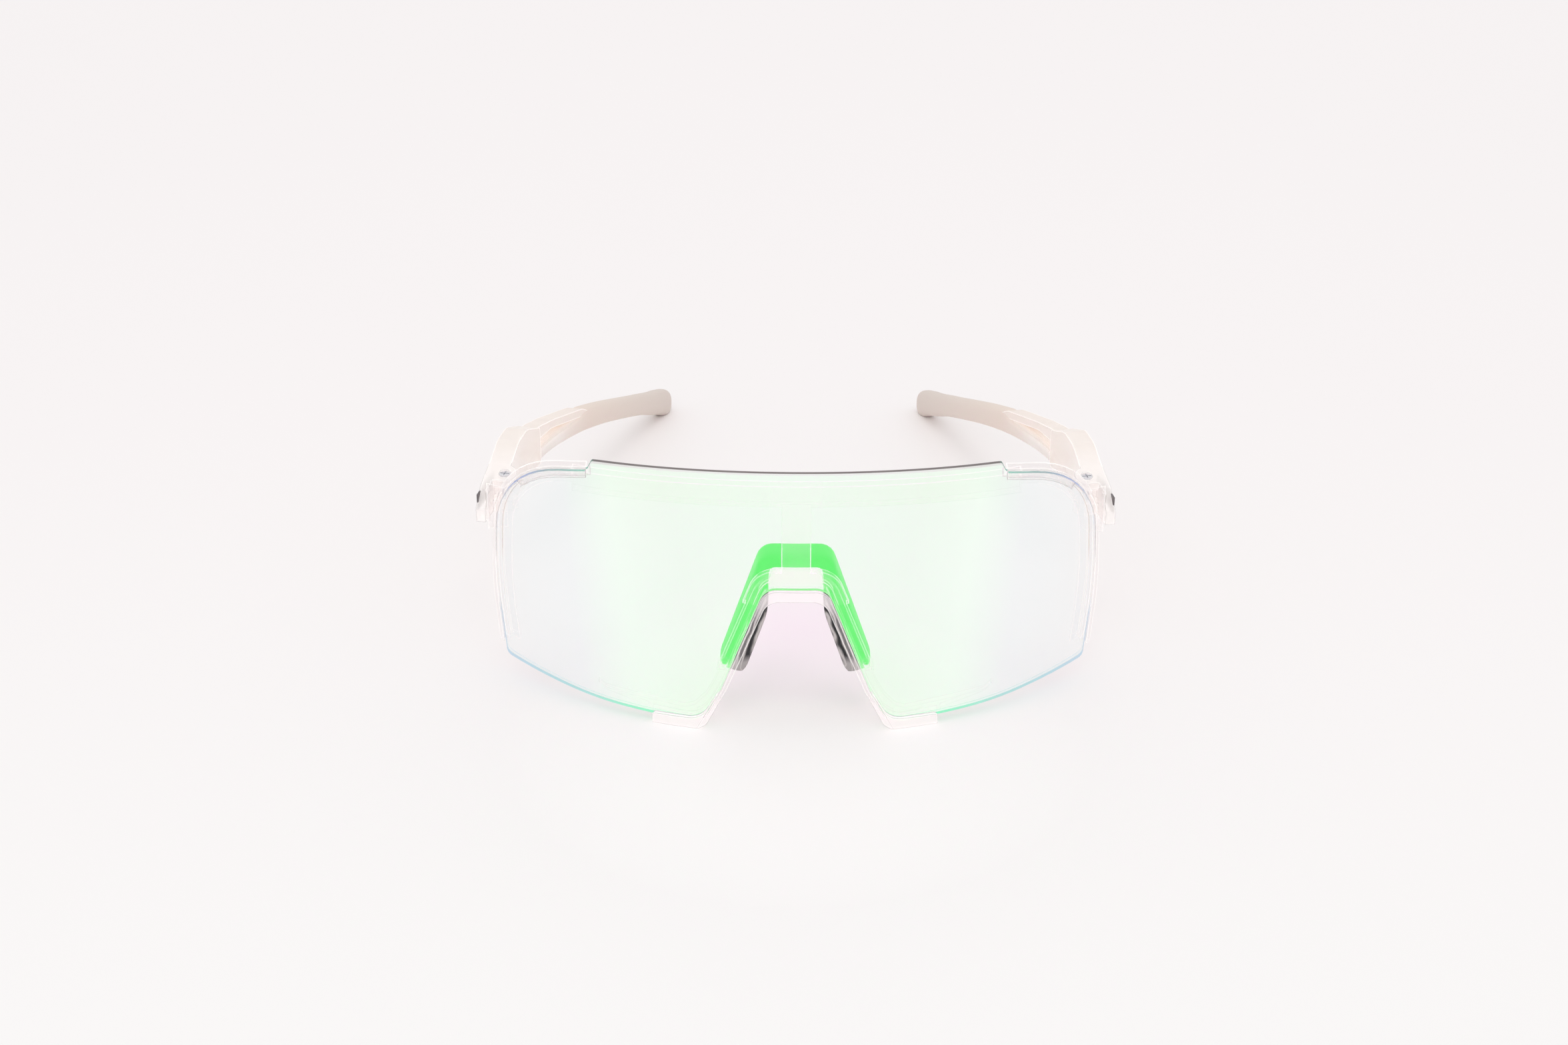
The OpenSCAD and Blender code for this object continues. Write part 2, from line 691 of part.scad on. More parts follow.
module temple() {
    difference() {
        union() {
            intersection() {
                block_side();
                union() {
                    // Block, cheek and ears in plan
                    translate([-block_in, 0, 0]) linear_extrude(60) polygon([
                        [0, 0],
                        [block_t, 0],
                        [block_t, block_end + 1],
                        [0, block_end + 1]
                    ]);
                    translate([cheek_in, -cheek_len - 1, 0]) cube([cheek_t, cheek_len + 2, 60]);
                    cylinder(r = ear_r, h = 60);
                    translate([0, -ear_r, 0]) cube([cheek_in + 0.5, 2 * ear_r, 60]);
                }
            }
            branch();
            core();
        }
        // Room for the frame's barrel
        translate([0, 0, barrel_z - leaf_gap]) {
            cylinder(r = ear_r + 0.15, h = barrel_h + 2 * leaf_gap);
            translate([-ear_r - 1, -ear_r - 2, 0])
                cube([ear_r + 1 + cheek_in, ear_r + 2, barrel_h + 2 * leaf_gap]);
        }
        // Screw: head recess, clearance hole, pilot for the insert
        translate([0, 0, head_z]) cylinder(r = screw_head_r + seat_gap, h = 20);
        cylinder(r = screw_r + pin_gap, h = head_z + 1);
        cylinder(r = insert_r + seat_gap, h = ear_top_z - 0.3);
        // Pocket for the grey stripe
        translate([block_out - stripe_t - seat_gap, -cheek_len + 1, stripe_z - stripe_h / 2 - seat_gap])
            cube([2, stripe_len + 2 * seat_gap, stripe_h + 2 * seat_gap]);
    }
}

// Section sizes of the soft sleeve
sleeve_start = block_end + 0.02;
function sleeve_top(y) =
    let (k = max(0, min(1, (y - fork_end + 4) / 8)), e = k * k * (3 - 2 * k))
    fork_z(min(y, fork_end + 8)) * (1 - e) + top_z(y) * e;
function tip_scale(y) = let (k = max(0, (y - temple_len + 5) / 5)) sqrt(max(0, 1 - 0.94 * k * k));

function sleeve_ring(y) =
    let (
        k = tip_scale(y),
        zc = (sleeve_top(y) + foot_z(y)) / 2,
        h = (sleeve_top(y) - foot_z(y)) / 2 + 0.05
    )
    [for (q = round_section(sleeve_half_w * k, h * k, sleeve_points, 0.75)) [mid_x(y) + q[0], y, zc + q[1]]];

function sleeve_y(i) =
    let (t = i / sleeve_steps, last = temple_len - 5)
    t < 0.85 ? sleeve_start + (last - sleeve_start) * t / 0.85 : last + 5 * sin(90 * (t - 0.85) / 0.15);

module sleeve() {
    difference() {
        skin([for (i = [0:sleeve_steps]) sleeve_ring(sleeve_y(i))]);
        branch();
        core();
        translate([-60, 60, -20]) cube([90, 80, 20]);
    }
}

module stripe() {
    translate([block_out - stripe_t, -cheek_len + 1 + seat_gap, stripe_z - stripe_h / 2])
        cube([stripe_t, stripe_len, stripe_h]);
}

module hinge_screw() {
    difference() {
        union() {
            translate([0, 0, head_z]) cylinder(r = screw_head_r, h = head_h);
            translate([0, 0, hinge_z + 0.5]) cylinder(r = screw_r, h = head_z - hinge_z - 0.4);
        }
        // Cross recess
        translate([-1, -0.15, head_z + head_h - 0.35]) cube([2, 0.3, 1]);
        translate([-0.15, -1, head_z + head_h - 0.35]) cube([0.3, 2, 1]);
    }
}

module hinge_insert() {
    translate([0, 0, hinge_z + 0.15]) difference() {
        cylinder(r = insert_r, h = ear_h - 0.5);
        translate([0, 0, -1]) cylinder(r = screw_r + seat_gap, h = ear_h + 2);
    }
}

module clear_side() {
    color([0.95, 0.96, 0.95, 0.4]) children();
}

module right_temple() {
    clear_side() hinge_frame() temple();
}

module left_temple() {
    clear_side() mirror([1, 0, 0]) hinge_frame() temple();
}

module right_sleeve() {
    color([0.9, 0.85, 0.8]) hinge_frame() sleeve();
}

module left_sleeve() {
    color([0.9, 0.85, 0.8]) mirror([1, 0, 0]) hinge_frame() sleeve();
}

module right_stripe() {
    color([0.4, 0.4, 0.42]) hinge_frame() stripe();
}

module left_stripe() {
    color([0.4, 0.4, 0.42]) mirror([1, 0, 0]) hinge_frame() stripe();
}

module right_hinge_screw() {
    color([0.75, 0.75, 0.77]) hinge_frame() hinge_screw();
}

module left_hinge_screw() {
    color([0.75, 0.75, 0.77]) mirror([1, 0, 0]) hinge_frame() hinge_screw();
}

module right_hinge_insert() {
    color([0.8, 0.7, 0.4]) hinge_frame() hinge_insert();
}

module left_hinge_insert() {
    color([0.8, 0.7, 0.4]) mirror([1, 0, 0]) hinge_frame() hinge_insert();
}

lens();
frame();
nose_carrier();
nose_pad();
left_temple();
right_temple();
left_sleeve();
right_sleeve();
left_stripe();
right_stripe();
left_hinge_screw();
right_hinge_screw();
left_hinge_insert();
right_hinge_insert();
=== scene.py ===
"""Studio looks for the shield sports sunglasses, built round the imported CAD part.

Lengths in the code are millimetres in the part's frame unless a name ends in _m.
"""

import logging
import math
from dataclasses import dataclass, field
from enum import Enum
from functools import reduce
from typing import Callable, Sequence, Union

import bmesh
import bpy
from mathutils import Euler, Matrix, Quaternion, Vector

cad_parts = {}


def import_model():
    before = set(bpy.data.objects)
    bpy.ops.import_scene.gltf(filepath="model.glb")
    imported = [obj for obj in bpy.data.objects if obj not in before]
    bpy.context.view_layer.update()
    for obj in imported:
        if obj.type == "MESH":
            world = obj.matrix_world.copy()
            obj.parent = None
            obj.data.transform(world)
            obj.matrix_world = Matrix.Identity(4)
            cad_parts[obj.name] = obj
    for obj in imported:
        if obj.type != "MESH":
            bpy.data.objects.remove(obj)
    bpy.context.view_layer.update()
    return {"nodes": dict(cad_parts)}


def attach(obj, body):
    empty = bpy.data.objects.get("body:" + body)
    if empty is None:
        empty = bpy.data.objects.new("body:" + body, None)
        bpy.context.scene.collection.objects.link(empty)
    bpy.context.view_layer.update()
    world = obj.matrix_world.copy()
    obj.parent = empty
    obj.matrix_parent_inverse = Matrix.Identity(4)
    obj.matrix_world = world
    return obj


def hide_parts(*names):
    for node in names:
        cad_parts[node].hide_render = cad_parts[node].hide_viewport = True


logging.basicConfig(level=logging.INFO, format="%(name)s: %(message)s")
LOG = logging.getLogger("sunglasses")

MM = 0.001
Pair = tuple[float, float]
Point = tuple[float, float, float]
Ring = list[Point]
Stations = Sequence[Pair]
Stops = Sequence[tuple[float, str]]
Socket = bpy.types.NodeSocket
Value = Union[Socket, float]


# ---- Sizes shared with the CAD part ----


@dataclass(frozen=True)
class Sizes:
    """Sizes of the part that the looks follow, in millimetres."""

    front_y: float = -83.6846
    lens_r: float = 90.0
    lens_t: float = 1.8
    lens_top_z: float = 58.8
    arch_r: float = 420.0
    notch_top_z: float = 33.2
    notch_top_w: float = 6.4
    notch_flare_w: float = 15.3
    notch_flare_z: float = 9.6
    plate_w: float = 5.2
    plate_h: float = 3.0
    hinge_x: float = 63.2
    hinge_y: float = 46.5
    temple_lean: float = 10.0
    temple_len: float = 125.0
    block_end: float = 27.0
    mid_out: float = 1.8
    sweep_start: float = 22.0
    sweep_end: float = 66.0
    sweep_slope: float = 0.11
    tail_start: float = 98.0
    tail_bend: float = 0.0014

    @property
    def axis_y(self) -> float:
        """Place of the lens's axis along Y."""
        return self.front_y + self.lens_r

    @property
    def notch_slope(self) -> float:
        """How much the notch's half width grows per millimetre downwards."""
        return (self.notch_flare_w - self.notch_top_w) / (self.notch_top_z - self.notch_flare_z)

    def notch_side_x(self, z: float) -> float:
        """Half width of the nose notch's straight side at a height.

        Args:
            z: Height above the table.

        Returns:
            Distance of the side from the middle.
        """
        return self.notch_top_w + self.notch_slope * (self.notch_top_z - z)

    def temple_mid_x(self, y: float) -> float:
        """Middle of a temple in plan, with its inward sweep.

        Args:
            y: Distance behind the hinge.

        Returns:
            Distance outwards from the hinge.
        """
        span = self.sweep_end - self.sweep_start
        past = max(0.0, y - self.sweep_start)
        sweep = past**2 / (2 * span) if past < span else past - span / 2
        tail = self.tail_bend * max(0.0, y - self.tail_start) ** 2
        return self.mid_out - self.sweep_slope * sweep - tail


SIZES = Sizes()


class Side(Enum):
    """A side of the glasses, with the sign of its X."""

    LEFT = -1
    RIGHT = 1

    @property
    def word(self) -> str:
        """The side's name in the CAD nodes."""
        return self.name.lower()


# ---- Colours and shader graphs ----


def linear(hex_colour: str) -> tuple[float, float, float, float]:
    """Converts an sRGB hex colour to linear light.

    Args:
        hex_colour: Colour as RRGGBB.

    Returns:
        Linear red, green and blue, and an alpha of 1.
    """
    out = []
    for i in (0, 2, 4):
        c = int(hex_colour[i : i + 2], 16) / 255
        out.append(c / 12.92 if c <= 0.04045 else ((c + 0.055) / 1.055) ** 2.4)
    return (out[0], out[1], out[2], 1.0)


class Nodes:
    """A node tree, written from left to right."""

    def __init__(self, tree: bpy.types.NodeTree, output: str) -> None:
        """Empties the tree and adds its output.

        Args:
            tree: The tree.
            output: Kind of its output node.
        """
        self.tree = tree
        self.tree.nodes.clear()
        self.output = self.add(output)

    def add(self, kind: str, inputs: dict | None = None, **settings) -> bpy.types.Node:
        """Adds a node, sets its options and fills or links its inputs.

        Args:
            kind: Node type without the ShaderNode prefix.
            inputs: Input name or index to a value or an output socket.
            **settings: Attributes of the node.

        Returns:
            The new node.
        """
        node = self.tree.nodes.new("ShaderNode" + kind)
        for key, value in settings.items():
            setattr(node, key, value)
        for key, value in (inputs or {}).items():
            if isinstance(value, Socket):
                self.tree.links.new(value, node.inputs[key])
            else:
                node.inputs[key].default_value = value
        return node

    def ramp(self, fac: Socket, stops: Stops) -> Socket:
        """Adds a colour ramp.

        Args:
            fac: Socket that drives the ramp.
            stops: Positions and sRGB hex colours, in order.

        Returns:
            The colour.
        """
        node = self.add("ValToRGB", {"Fac": fac})
        elements = node.color_ramp.elements
        for element, (place, colour) in zip(elements, (stops[0], stops[-1])):
            element.position = place
            element.color = linear(colour)
        for place, colour in stops[1:-1]:
            elements.new(place).color = linear(colour)
        return node.outputs["Color"]

    def mix(self, share: Value, first: Socket, second: Socket) -> Socket:
        """Mixes two shaders, with the share of the second one."""
        return self.add("MixShader", {0: share, 1: first, 2: second}).outputs[0]

    def mix_colour(self, share: Value, first: Socket, second: Value | tuple) -> Socket:
        """Mixes two colours, with the share of the second one."""
        return self.add("Mix", {0: share, 6: first, 7: second}, data_type="RGBA").outputs[2]

    def close(self, surface: Socket) -> None:
        """Links the surface to the tree's output."""
        self.tree.links.new(surface, self.output.inputs["Surface"])


class Graph(Nodes):
    """A material's node tree."""

    deep_walls = 6.5
    painted_deep_light = "F6F2F2"

    def __init__(self, name: str) -> None:
        """Makes an empty material.

        Args:
            name: Name of the material, after what it is made of.
        """
        self.material = bpy.data.materials.new(name)
        self.material.use_nodes = True
        super().__init__(self.material.node_tree, "OutputMaterial")
        self._coords: Socket | None = None

    def coords(self) -> Socket:
        """Object coordinates through a Mapping node, shared by the whole graph."""
        if self._coords is None:
            source = self.add("TexCoord")
            self._coords = self.add("Mapping", {"Vector": source.outputs["Object"]}).outputs[0]
        return self._coords

    def axes(self) -> tuple[Socket, Socket, Socket]:
        """X, Y and Z of the object coordinates."""
        x, y, z = self.add("SeparateXYZ", {0: self.coords()}).outputs
        return x, y, z

    def polar(self) -> tuple[Socket, Socket]:
        """Depth measured from the lens's upright axis, and the distance from that axis."""
        x, y, _ = self.axes()
        depth = self.math("SUBTRACT", y, SIZES.axis_y * MM)
        squares = self.math("ADD", self.times(x, x), self.times(depth, depth))
        return depth, self.math("SQRT", squares)

    def math(self, operation: str, a: Value, b: Value = 0.0, clamp: bool = False) -> Socket:
        """Adds a Math node.

        Args:
            operation: Name of the operation.
            a: First value.
            b: Second value.
            clamp: Whether the result is kept between 0 and 1.

        Returns:
            The result.
        """
        return self.add("Math", {0: a, 1: b}, operation=operation, use_clamp=clamp).outputs[0]

    def times(self, *values: Value) -> Socket:
        """Product of the values."""
        return reduce(lambda a, b: self.math("MULTIPLY", a, b), values)

    def most(self, *values: Value) -> Socket:
        """Largest of the values."""
        return reduce(lambda a, b: self.math("MAXIMUM", a, b), values)

    def above(self, length: Socket, limit: float) -> Socket:
        """1 where a length is over a limit in millimetres, else 0."""
        return self.math("GREATER_THAN", length, limit * MM)

    def below(self, length: Socket, limit: float) -> Socket:
        """1 where a length is under a limit in millimetres, else 0."""
        return self.math("LESS_THAN", length, limit * MM)

    def span(self, length: Socket, start: float, end: float) -> Socket:
        """Share of the way from a start to an end, both in millimetres."""
        offset = self.math("SUBTRACT", length, start * MM)
        return self.math("DIVIDE", offset, (end - start) * MM, clamp=True)

    def between(self, share: Socket, low: float, high: float) -> Socket:
        """Value at a share of the way from low to high."""
        return self.math("ADD", self.math("MULTIPLY", share, high - low), low)

    def outer_fresnel(self, ior: float, normal: Socket | None = None) -> Socket:
        """Share of gloss on a thin wall, without total reflection for the rays inside it.

        Args:
            ior: Refractive index.
            normal: Normal socket, or nothing for the surface's own.

        Returns:
            The share.
        """
        inputs = {"IOR": ior}
        if normal is not None:
            inputs["Normal"] = normal
        fresnel = self.add("Fresnel", inputs).outputs[0]
        inside = self.add("NewGeometry").outputs["Backfacing"]
        return self.times(fresnel, self.math("SUBTRACT", 1.0, inside))

    def noise(self, scale: float, detail: float) -> Socket:
        """Adds fine noise on the object coordinates and returns its value."""
        inputs = {"Vector": self.coords(), "Scale": scale, "Detail": detail}
        return self.add("TexNoise", inputs).outputs["Fac"]

    def bump(self, height: Socket, strength: float, distance_m: float, normal=None) -> Socket:
        """Adds a Bump node over a height socket and returns the normal."""
        inputs = {"Height": height, "Strength": strength, "Distance": distance_m}
        if normal is not None:
            inputs["Normal"] = normal
        return self.add("Bump", inputs).outputs[0]

    def transparent(self, colour: str | Socket) -> Socket:
        """Adds a shader that lets light straight through in a colour."""
        tint = linear(colour) if isinstance(colour, str) else colour
        return self.add("BsdfTransparent", {"Color": tint}).outputs[0]

    def clear_wall(self, surface: Socket, cast: str) -> Socket:
        """Lets lamp light through a thin clear wall, and ends rays that crossed many walls in
        painted pale light.

        Args:
            surface: The wall's own surface.
            cast: Colour of the lamp light that it lets through.

        Returns:
            The whole surface.
        """
        paths = self.add("LightPath").outputs
        # Rays that crossed many walls end in painted pale light, not in black
        inner = self.add("Emission", {"Color": linear(self.painted_deep_light), "Strength": 1.0})
        deep = self.math("GREATER_THAN", paths["Transparent Depth"], self.deep_walls)
        whole = self.mix(deep, surface, inner.outputs[0])
        return self.mix(paths["Is Shadow Ray"], whole, self.transparent(cast))

    def finish(self, surface: Socket) -> bpy.types.Material:
        """Links the surface to the output and returns the material."""
        self.close(surface)
        return self.material


# ---- Finishes ----


@dataclass(frozen=True)
class MirrorLens:
    """Clear polycarbonate sheet with a green dielectric mirror on its outer face.

    What the coating reflects and what it lets through add up to almost white, so the
    lens is pale over the white table and vivid green over the dark rubber. Both shift
    with the angle of view. The cut edge is painted with the reflections and light that it
    shows: their colours run along its half width, and those inside the notch with the height.
    """

    name: str = "polycarbonate_green_mirror"
    gloss: float = 0.015
    cast: str = "FFF1FA"
    reflected: Stops = (
        (0.0, "62FF6C"), (0.15, "66FC76"), (0.21, "8CF0B2"), (0.28, "A8D0CE"), (0.5, "AEC4DC"),
    )
    passed: Stops = (
        (0.0, "EA34EC"), (0.15, "E93EE7"), (0.21, "DC7CC6"), (0.28, "C8A4A8"), (0.5, "C4B08C"),
    )
    top: Stops = (
        (0.0, "746A69"), (0.64, "6E6665"), (0.67, "6CC8B2"), (0.8, "86A8AE"), (0.88, "9FB2E0"),
        (1.0, "ACB8E2"),
    )
    foot: Stops = (
        (0.3, "3FCF96"), (0.55, "4FD0A2"), (0.75, "5DB4B8"), (0.9, "7FAECC"), (1.0, "9FB2D6"),
    )
    notch: Stops = ((0.2, "E6F4E8"), (0.44, "D8E6DA"), (0.52, "8C8886"))
    ramp_w: float = 64.0
    inner_ior: float = 1.2
    edge_facing: float = 0.7
    foot_z: float = 30.0
    notch_z: float = 40.0
    notch_reach: float = 0.27
    arch_z: float = 45.0
    arch_reach: float = 0.668
    back_line_t: float = 0.14
    back_line: float = 0.4

    def build(self) -> bpy.types.Material:
        """Builds the lens material."""
        g = Graph(self.name)
        x, _, z = g.axes()
        depth, radius = g.polar()
        # 0 on the bare inner face, 1 on the coated outer face
        layer = g.span(radius, SIZES.lens_r - SIZES.lens_t, SIZES.lens_r)
        outer = g.math("GREATER_THAN", layer, 0.5)
        sheet = g.mix(outer, self._inner_face(g), self._coating(g))
        whole = g.mix(self._edge_mask(g, x, depth, radius), sheet, self._painted_edge(g, x, z, layer))
        # Lamp light passes with a trace of the pink that the mirror leaves over
        return g.finish(g.clear_wall(whole, self.cast))

    def _coating(self, g: Graph) -> Socket:
        """Reflected and passed light, which shift from green to blue towards the sides."""
        facing = g.add("LayerWeight", {"Blend": 0.5}).outputs["Facing"]
        reflected = g.ramp(facing, self.reflected)
        mirror = g.add("BsdfGlossy", {"Color": reflected, "Roughness": self.gloss})
        through = g.transparent(g.ramp(facing, self.passed))
        return g.add("AddShader", {0: through, 1: mirror.outputs[0]}).outputs[0]

    def _inner_face(self, g: Graph) -> Socket:
        """Bare polished face behind the coating."""
        gloss = g.add("BsdfGlossy", {"Color": linear("F4F6F8"), "Roughness": 0.02})
        return g.mix(g.outer_fresnel(self.inner_ior), g.transparent("FEFEFE"), gloss.outputs[0])

    def _edge_mask(self, g: Graph, x: Socket, depth: Socket, radius: Socket) -> Socket:
        """1 on the sheet's cut edge, where the normal leaves the radial direction."""
        normal = g.add("SeparateXYZ", {0: g.add("TexCoord").outputs["Normal"]}).outputs
        along = g.math("ADD", g.times(normal[0], x), g.times(normal[1], depth))
        along = g.math("ABSOLUTE", g.math("DIVIDE", along, radius))
        return g.math("LESS_THAN", along, self.edge_facing)

    def _painted_edge(self, g: Graph, x: Socket, z: Socket, layer: Socket) -> Socket:
        """Painted light on the cut edge: a dark reflection on the arched top, and a thin teal to
        lilac line elsewhere.
        """
        unit = 1 / (self.ramp_w * MM)
        reach = g.times(g.math("ABSOLUTE", x), unit)
        low = g.below(z, self.foot_z)
        # Painted colours: a dark reflection along the top, and a line of teal to lilac light along
        # the foot
        colour = g.mix_colour(low, g.ramp(reach, self.top), g.ramp(reach, self.foot))
        inside = g.times(g.math("LESS_THAN", reach, self.notch_reach), g.below(z, self.notch_z))
        colour = g.mix_colour(inside, colour, g.ramp(g.times(z, unit), self.notch))
        body = g.add("BsdfPrincipled", {"Base Color": colour, "Roughness": 0.35})
        # The painted edge shows on the inner half of the arch's edge, dark there, and on the coated
        # half elsewhere
        arch = g.times(g.math("LESS_THAN", reach, self.arch_reach), g.above(z, self.arch_z))
        inner = g.times(arch, g.math("LESS_THAN", layer, 0.5))
        coated = g.times(g.math("SUBTRACT", 1.0, arch), g.math("GREATER_THAN", layer, 0.5))
        # A fainter painted line runs along the inner edge of the foot
        back = g.times(low, g.math("LESS_THAN", layer, self.back_line_t), self.back_line)
        shown = g.most(back, inner, coated)
        return g.mix(shown, g.transparent("F8FBFA"), body.outputs[0])


@dataclass(frozen=True)
class ClearNylon:
    """Polished clear nylon, with painted highlight bands and painted dark lines at its moulded
    edges.

    Part of the light is refracted and part passes straight on, as through thin walls.
    The milk is the share that the plastic scatters, which each part sets for itself, with painted
    emitted light added to it.
    """

    name: str
    tint: str = "FEFDFD"
    # Colours of the painted highlight bands and of the painted dark lines
    painted_highlight: str = "FFFDFB"
    painted_dark_line: str = "6E686C"
    cast: str = "FDFBFB"
    clarity: float = 0.95
    line: float = 0.9
    contour_line: float = 0.3
    edge_radius: float = 0.42
    band_facing: float = 0.98
    contour_facing: float = 0.86
    line_edge: float = 16.0
    painted_inner_glow: float = 0.04
    painted_glow: float = 0.38
    gloss_ior: float = 1.35
    glass_ior: float = 1.45
    back_scatter: float = 0.12

    def build(self) -> bpy.types.Material:
        """Builds the clear material."""
        g = Graph(self.name)
        rounded = g.add("Bevel", {"Radius": self.edge_radius * MM}, samples=4).outputs[0]
        flat = g.add("NewGeometry").outputs["Normal"]
        same = g.add("VectorMath", {0: rounded, 1: flat}, operation="DOT_PRODUCT").outputs["Value"]
        # The milky light includes painted emitted light
        milky = self._scatter(g, self.haze(g), self.painted_inner_glow)
        body = g.mix(self.milk(g), self._clear(g, rounded), milky)
        # A painted highlight band beside each moulded corner, and a thin painted dark line on the
        # corner
        painted_light = self._scatter(g, linear(self.painted_highlight), self.painted_glow)
        beside = self._line_share(g, same, self.band_facing)
        lined = g.mix(g.times(beside, self.strength(g)), body, painted_light)
        dark = self._scatter(g, linear(self.painted_dark_line), 0.0)
        corner = self._line_share(g, same, self.contour_facing)
        lined = g.mix(g.times(corner, self.outline(g)), lined, dark)
        return g.finish(g.clear_wall(lined, self.cast))

    def milk(self, g: Graph) -> Value:
        """Share of scattered light."""
        return 0.005

    def strength(self, g: Graph) -> Value:
        """Share of the painted highlight bands beside the corners."""
        return self.line

    def outline(self, g: Graph) -> Value:
        """Share of the painted dark lines on the corners."""
        return self.contour_line

    def haze(self, g: Graph) -> Socket | tuple:
        """Colour of the scattered light."""
        return linear("FFFBF9")

    def _line_share(self, g: Graph, same: Socket, facing: float) -> Socket:
        """1 where the rounded normal leaves the flat one by more than a limit."""
        return g.math("MULTIPLY", g.math("SUBTRACT", facing, same), self.line_edge, clamp=True)

    def _clear(self, g: Graph, normal: Socket) -> Socket:
        """The unscattered light: refracted, reflected and passed straight on."""
        ripple = g.bump(g.noise(70.0, 1.0), 0.05, 0.002, normal)
        glass = g.add(
            "BsdfPrincipled",
            {
                "Base Color": linear(self.tint),
                "Roughness": 0.02,
                "IOR": self.glass_ior,
                "Transmission Weight": 1.0,
                "Normal": ripple,
            },
        )
        shine = {"Color": linear("FFFFFF"), "Roughness": 0.05, "Normal": ripple}
        gloss = g.add("BsdfGlossy", shine).outputs[0]
        thin = g.mix(g.outer_fresnel(self.gloss_ior, ripple), g.transparent(self.tint), gloss)
        return g.mix(self.clarity, glass.outputs[0], thin)

    def _scatter(self, g: Graph, colour: Socket | tuple, painted_inner_glow: float) -> Socket:
        """Light scattered mostly back and a little through, and painted emitted light that stands
        for light piped in the wall.

        Args:
            g: Graph.
            colour: Colour or socket.
            painted_inner_glow: Strength of the painted emitted light.

        Returns:
            The shader.
        """
        front = g.add("BsdfDiffuse", {"Color": colour}).outputs[0]
        back = g.add("BsdfTranslucent", {"Color": colour}).outputs[0]
        mixed = g.mix(self.back_scatter, front, back)
        if not painted_inner_glow:
            return mixed
        # Painted emitted light, standing for light piped along the wall
        painted_glow = g.add("Emission", {"Color": colour, "Strength": painted_inner_glow})
        return g.add("AddShader", {0: mixed, 1: painted_glow.outputs[0]}).outputs[0]


@dataclass(frozen=True)
class FrontNylon(ClearNylon):
    """Nylon of the front: the notch's lip and the clips look white, helped by strong painted
    emitted light.
    """

    clarity: float = 0.98
    gloss_ior: float = 1.25
    painted_inner_glow: float = 0.17
    faint: float = 0.1
    leg_faint: float = 0.02
    clip_w: float = 32.0
    lip_h: float = 0.3
    lip_milk: Pair = (0.13, 0.55)
    plate_milk: Pair = (0.04, 0.3)
    clear_milk: float = 0.002
    lip_outline: Pair = (0.2, 0.7)
    back_outline: float = 0.1
    legs_top: Pair = (26.5, 30.5)
    legs_foot: Pair = (9.0, 6.0)
    legs_w: float = 26.0
    brow_h: float = 5.6
    pillar_z: float = 42.0
    side_w: float = 50.0
    side_line: float = 0.6

    def milk(self, g: Graph) -> Socket:
        """Milk of the low parts before the lens, and a little in the middle behind it."""
        side, z, ahead = self._place(g)
        low = g.times(g.below(side, self.clip_w), g.below(z, SIZES.notch_top_z + self.lip_h))
        # The lip is clearer along the legs, where the rubber shows through it
        lip = g.times(ahead, low, g.between(self._ends(g, z), *self.lip_milk))
        middle = g.times(g.below(side, SIZES.plate_w + 0.1), g.math("SUBTRACT", 1.0, ahead))
        upper = g.above(z, SIZES.notch_top_z - 0.2)
        # The pillar over the plate has much less
        plate = g.below(z, SIZES.notch_top_z + SIZES.plate_h + 0.1)
        plate = g.times(middle, upper, g.between(plate, *self.plate_milk))
        return g.math("ADD", g.most(lip, plate), self.clear_milk)

    def strength(self, g: Graph) -> Socket:
        """Fainter painted highlight lines behind the lens, but for the brow's upper edge and the
        pillar's foot.
        """
        side, z, ahead = self._place(g)
        sag = g.times(side, side, 1 / (2 * SIZES.arch_r * MM))
        brow = g.above(g.math("ADD", z, sag), SIZES.lens_top_z - self.brow_h)
        pillar = g.times(g.below(z, self.pillar_z), g.above(z, SIZES.notch_top_z + 0.6))
        pillar = g.times(pillar, g.below(side, SIZES.plate_w - 1.0))
        # Painted highlight lines on the side rims
        painted_highlight = g.times(g.above(side, self.side_w), self.side_line)
        strong = g.times(g.most(brow, pillar, ahead, painted_highlight), self.line)
        legs = g.times(g.below(side, self.legs_w), g.below(z, SIZES.notch_top_z))
        return g.most(strong, g.between(legs, self.faint, self.leg_faint))

    def haze(self, g: Graph) -> tuple:
        """A trace of painted pink, standing for the light from the mirror beside it."""
        return linear("FDF6F7")

    def outline(self, g: Graph) -> Socket:
        """Painted dark lines before the lens, weaker along the legs, and hardly any behind it."""
        _, z, ahead = self._place(g)
        share = g.times(ahead, g.between(self._ends(g, z), *self.lip_outline))
        return g.math("ADD", share, self.back_outline)

    def _ends(self, g: Graph, z: Socket) -> Socket:
        """1 over the notch and in the clips, 0 along the legs."""
        return g.most(g.span(z, *self.legs_top), g.span(z, *self.legs_foot))

    def _place(self, g: Graph) -> tuple[Socket, Socket, Socket]:
        """Distance from the middle, height, and 1 before the lens's outer face."""
        x, _, z = g.axes()
        return g.math("ABSOLUTE", x), z, g.above(g.polar()[1], SIZES.lens_r + 0.05)


@dataclass(frozen=True)
class CarrierNylon(ClearNylon):
    """Nylon of the nose carrier, a little hazy in its wide ears."""

    clarity: float = 0.99
    gloss_ior: float = 1.2
    contour_line: float = 0.1
    ear_z: float = 27.8
    ear_milk: float = 0.07
    ear_lines: Pair = (0.2, 0.7)

    def milk(self, g: Graph) -> Socket:
        """Milk in the ears only."""
        return g.times(self._ears(g), self.ear_milk)

    def strength(self, g: Graph) -> Socket:
        """Fainter painted highlight lines along the legs."""
        return g.between(self._ears(g), *self.ear_lines)

    def _ears(self, g: Graph) -> Socket:
        """1 in the ears, 0 in the legs."""
        return g.above(g.axes()[2], self.ear_z)


